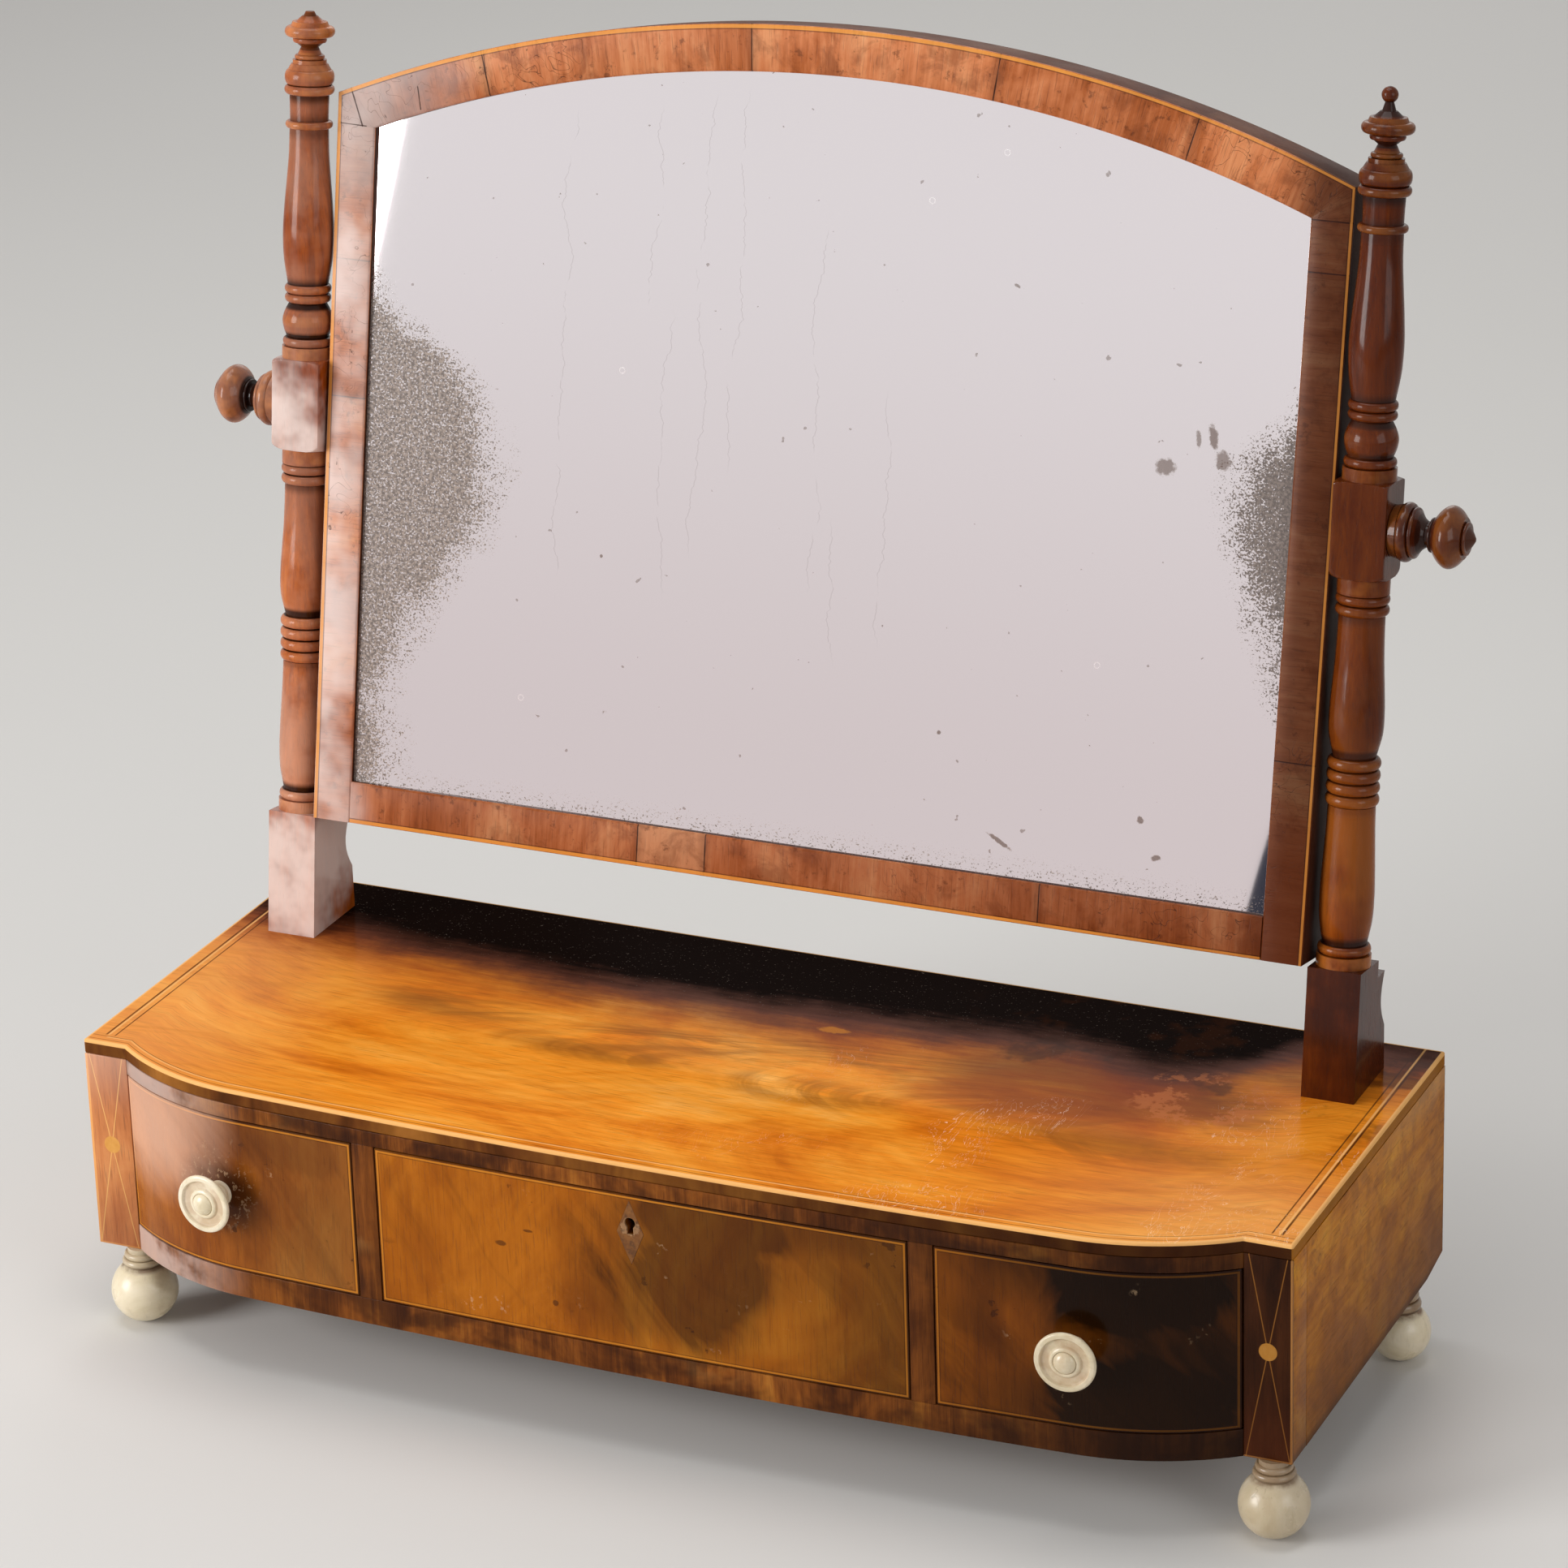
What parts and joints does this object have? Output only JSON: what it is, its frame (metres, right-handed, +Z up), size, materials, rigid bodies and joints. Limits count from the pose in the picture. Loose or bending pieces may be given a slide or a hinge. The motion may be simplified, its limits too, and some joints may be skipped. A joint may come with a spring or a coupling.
{
  "type": "dressing table mirror",
  "caption": "Bow-front dressing table mirror: a low mahogany case of drawers on bone ball feet, with an arched mirror tilting between turned raking posts.",
  "frame": {"origin": "on the floor, below the middle of the bounding box", "axes": "+X to the right seen from the front, +Y to the back, +Z up"},
  "size_m": [0.6126, 0.2824, 0.5809],
  "materials": {
    "flame_mahogany": "french polished",
    "drawer_veneer": "french polished",
    "crossbanding": "french polished",
    "carcase_pine": "bare, aged",
    "boxwood": "french polished",
    "post_mahogany": "french polished",
    "frame_mahogany": "french polished",
    "bone": "worn polish",
    "mirror_glass": "foxed silvering",
    "iron": "aged",
    "lock_brass": "aged"
  },
  "bodies": {
    "case": {"top_board": "flame_mahogany", "top_stringing": "boxwood", "bottom_board": "carcase_pine", "back_board": "carcase_pine", "left_side": "flame_mahogany", "right_side": "flame_mahogany", "top_rail": "crossbanding", "bottom_rail": "crossbanding", "left_pilaster": "crossbanding", "right_pilaster": "crossbanding", "corner_stringing": "boxwood", "left_divider": "crossbanding", "right_divider": "crossbanding", "drawer_guides": "carcase_pine", "rear_foot_blocks": "carcase_pine", "foot_front_left": "bone", "foot_front_right": "bone", "foot_back_left": "bone", "foot_back_right": "bone", "left_post": "post_mahogany", "right_post": "post_mahogany", "left_finial": "post_mahogany", "right_finial": "post_mahogany"},
    "mirror_frame": {"frame_left_stile": "frame_mahogany", "frame_right_stile": "frame_mahogany", "frame_top_rail": "frame_mahogany", "frame_bottom_rail": "frame_mahogany", "frame_stringing": "boxwood", "mirror_plate": "mirror_glass", "frame_backboard": "carcase_pine", "plate_blocks": "carcase_pine", "screw_plates": "iron"},
    "left_tilt_screw": {"left_tilt_knob": "post_mahogany", "left_tilt_screw": "iron"},
    "right_tilt_screw": {"right_tilt_knob": "post_mahogany", "right_tilt_screw": "iron"},
    "left_drawer": {"left_drawer_front": "drawer_veneer", "left_drawer_left_wall": "carcase_pine", "left_drawer_right_wall": "carcase_pine", "left_drawer_back": "carcase_pine", "left_drawer_bottom": "carcase_pine", "left_drawer_stringing": "boxwood", "left_drawer_knob": "bone"},
    "centre_drawer": {"centre_drawer_front": "drawer_veneer", "centre_drawer_left_wall": "carcase_pine", "centre_drawer_right_wall": "carcase_pine", "centre_drawer_back": "carcase_pine", "centre_drawer_bottom": "carcase_pine", "centre_drawer_stringing": "boxwood", "drawer_lock": "lock_brass", "escutcheon": "bone"},
    "right_drawer": {"right_drawer_front": "drawer_veneer", "right_drawer_left_wall": "carcase_pine", "right_drawer_right_wall": "carcase_pine", "right_drawer_back": "carcase_pine", "right_drawer_bottom": "carcase_pine", "right_drawer_stringing": "boxwood", "right_drawer_knob": "bone"},
    "lock_bolt": {"lock_bolt": "iron"}
  },
  "joints": [
    {"name": "mirror_tilt", "type": "hinge", "parent": "case", "child": "mirror_frame", "pos_m": [0, 0.08381, 0.39039], "axis": [1, 0, 0], "continuous": true},
    {"name": "left_screw_turn", "type": "hinge", "parent": "mirror_frame", "child": "left_tilt_screw", "pos_m": [-0.27025, 0.08381, 0.39039], "axis": [-1, 0, 0], "range_deg": [0, 360]},
    {"name": "right_screw_turn", "type": "hinge", "parent": "mirror_frame", "child": "right_tilt_screw", "pos_m": [0.27025, 0.08381, 0.39039], "axis": [1, 0, 0], "range_deg": [0, 360]},
    {"name": "left_drawer_slide", "type": "slide", "parent": "case", "child": "left_drawer", "axis": [0, -1, 0], "range_m": [0, 0.15]},
    {"name": "centre_drawer_slide", "type": "slide", "parent": "case", "child": "centre_drawer", "axis": [0, -1, 0], "range_m": [0, 0.15]},
    {"name": "right_drawer_slide", "type": "slide", "parent": "case", "child": "right_drawer", "axis": [0, -1, 0], "range_m": [0, 0.15]},
    {"name": "bolt_throw", "type": "slide", "parent": "centre_drawer", "child": "lock_bolt", "axis": [0, 0, 1], "range_m": [0, 0.0045]}
  ]
}
